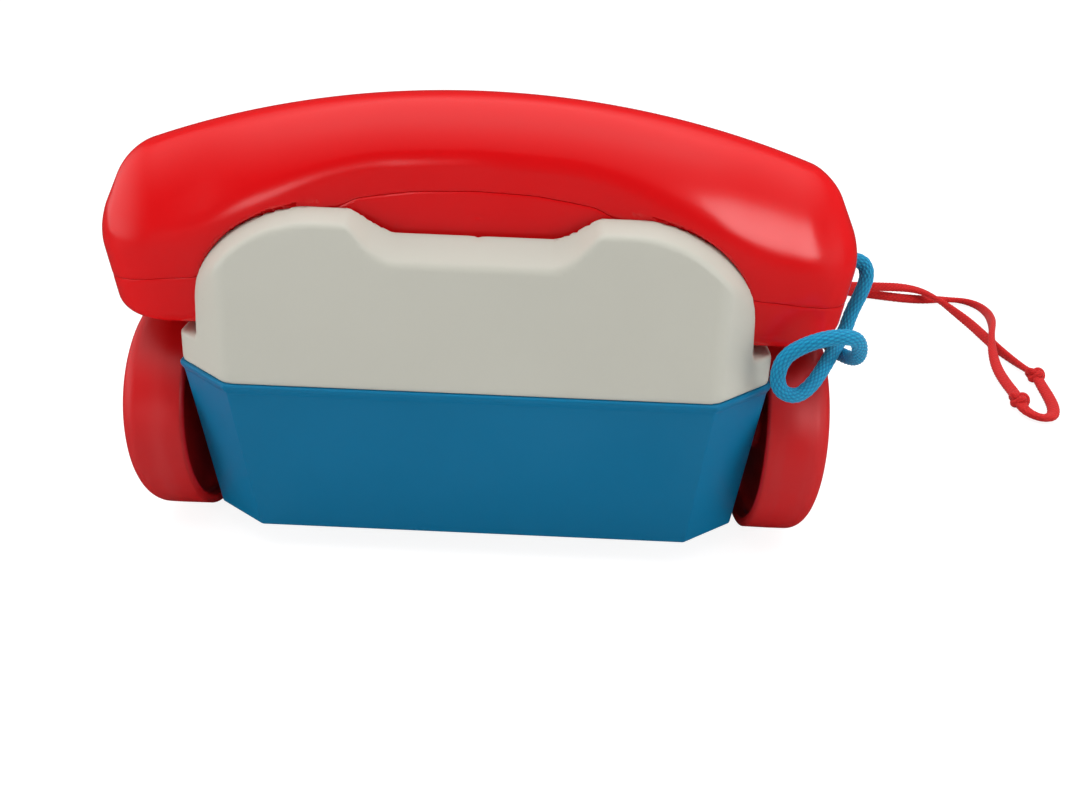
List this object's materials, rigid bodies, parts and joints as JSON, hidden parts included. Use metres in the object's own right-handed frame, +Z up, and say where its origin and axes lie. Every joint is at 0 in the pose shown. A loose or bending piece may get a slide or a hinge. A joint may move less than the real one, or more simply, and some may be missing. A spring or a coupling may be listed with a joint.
{
  "type": "pull-along toy telephone",
  "caption": "Pull-along toy telephone on wheels with a lift-off handset, a rotary dial, a braided handset cord and a pull string with a knotted end loop.",
  "frame": {"origin": "on the ground, under the middle of the toy", "axes": "+Z up, -Y to the front with the dial, X along the handset"},
  "size_m": [0.3436, 0.2511, 0.13],
  "materials": {
    "red_plastic": "satin",
    "red_wheel": "satin",
    "white_plastic": "satin",
    "blue_plastic": "satin",
    "yellow_plastic": "satin",
    "steel": "brushed",
    "blue_cord": "braided",
    "red_lace": "woven"
  },
  "bodies": {
    "body": {"base_shell": "blue_plastic", "upper_shell": "white_plastic", "number_plate": "white_plastic", "finger_stop": "white_plastic", "dial_bush": "white_plastic", "bell_dome": "steel", "bell_post": "white_plastic", "bell_screw": "steel", "clicker_reed": "white_plastic", "reed_screw": "steel", "rear_axle_bushes": "white_plastic", "front_axle_bushes": "white_plastic", "base_screws": "steel", "body_cord_gland": "blue_plastic", "string_grommet": "white_plastic", "handset_cord": "blue_cord", "pull_string": "red_lace", "string_knots": "red_lace", "hammer_pin": "steel"},
    "hammer": {"bell_hammer": "white_plastic"},
    "rear_wheels": {"rear_axle": "steel", "rear_wheel_left": "red_wheel", "rear_wheel_right": "red_wheel", "rear_hub_caps": "yellow_plastic", "clicker_cam": "white_plastic"},
    "front_wheels": {"front_axle": "steel", "front_wheel_left": "red_wheel", "front_wheel_right": "red_wheel", "front_hub_caps": "yellow_plastic"},
    "dial": {"dial": "yellow_plastic", "dial_cap": "red_plastic", "dial_spindle": "white_plastic", "dial_cam": "white_plastic", "dial_screw": "steel"},
    "handset": {"handset_upper_shell": "red_plastic", "handset_lower_shell": "red_plastic", "earpiece_cap": "red_plastic", "mouthpiece_cap": "red_plastic", "handset_screws": "steel", "handset_cord_gland": "red_plastic"}
  },
  "joints": [
    {"name": "rear_axle_spin", "type": "hinge", "parent": "body", "child": "rear_wheels", "pos_m": [0, 0.038, 0.0332], "axis": [1, 0, 0], "continuous": true},
    {"name": "front_axle_spin", "type": "hinge", "parent": "body", "child": "front_wheels", "pos_m": [0, -0.038, 0.0332], "axis": [1, 0, 0], "continuous": true},
    {"name": "dial_turn", "type": "hinge", "parent": "body", "child": "dial", "pos_m": [0, -0.02702, 0.08364], "axis": [0, -0.3723, 0.9281], "continuous": true},
    {"name": "hammer_swing", "type": "hinge", "parent": "body", "child": "hammer", "pos_m": [-0.015, -0.04501, 0.06403], "axis": [0, -0.3723, 0.9281], "range_deg": [0, 3], "stiffness_Nm_per_rad": 0.002},
    {"name": "handset_lift", "type": "slide", "parent": "body", "child": "handset", "axis": [0, 0, 1], "range_m": [0, 0.07]}
  ]
}
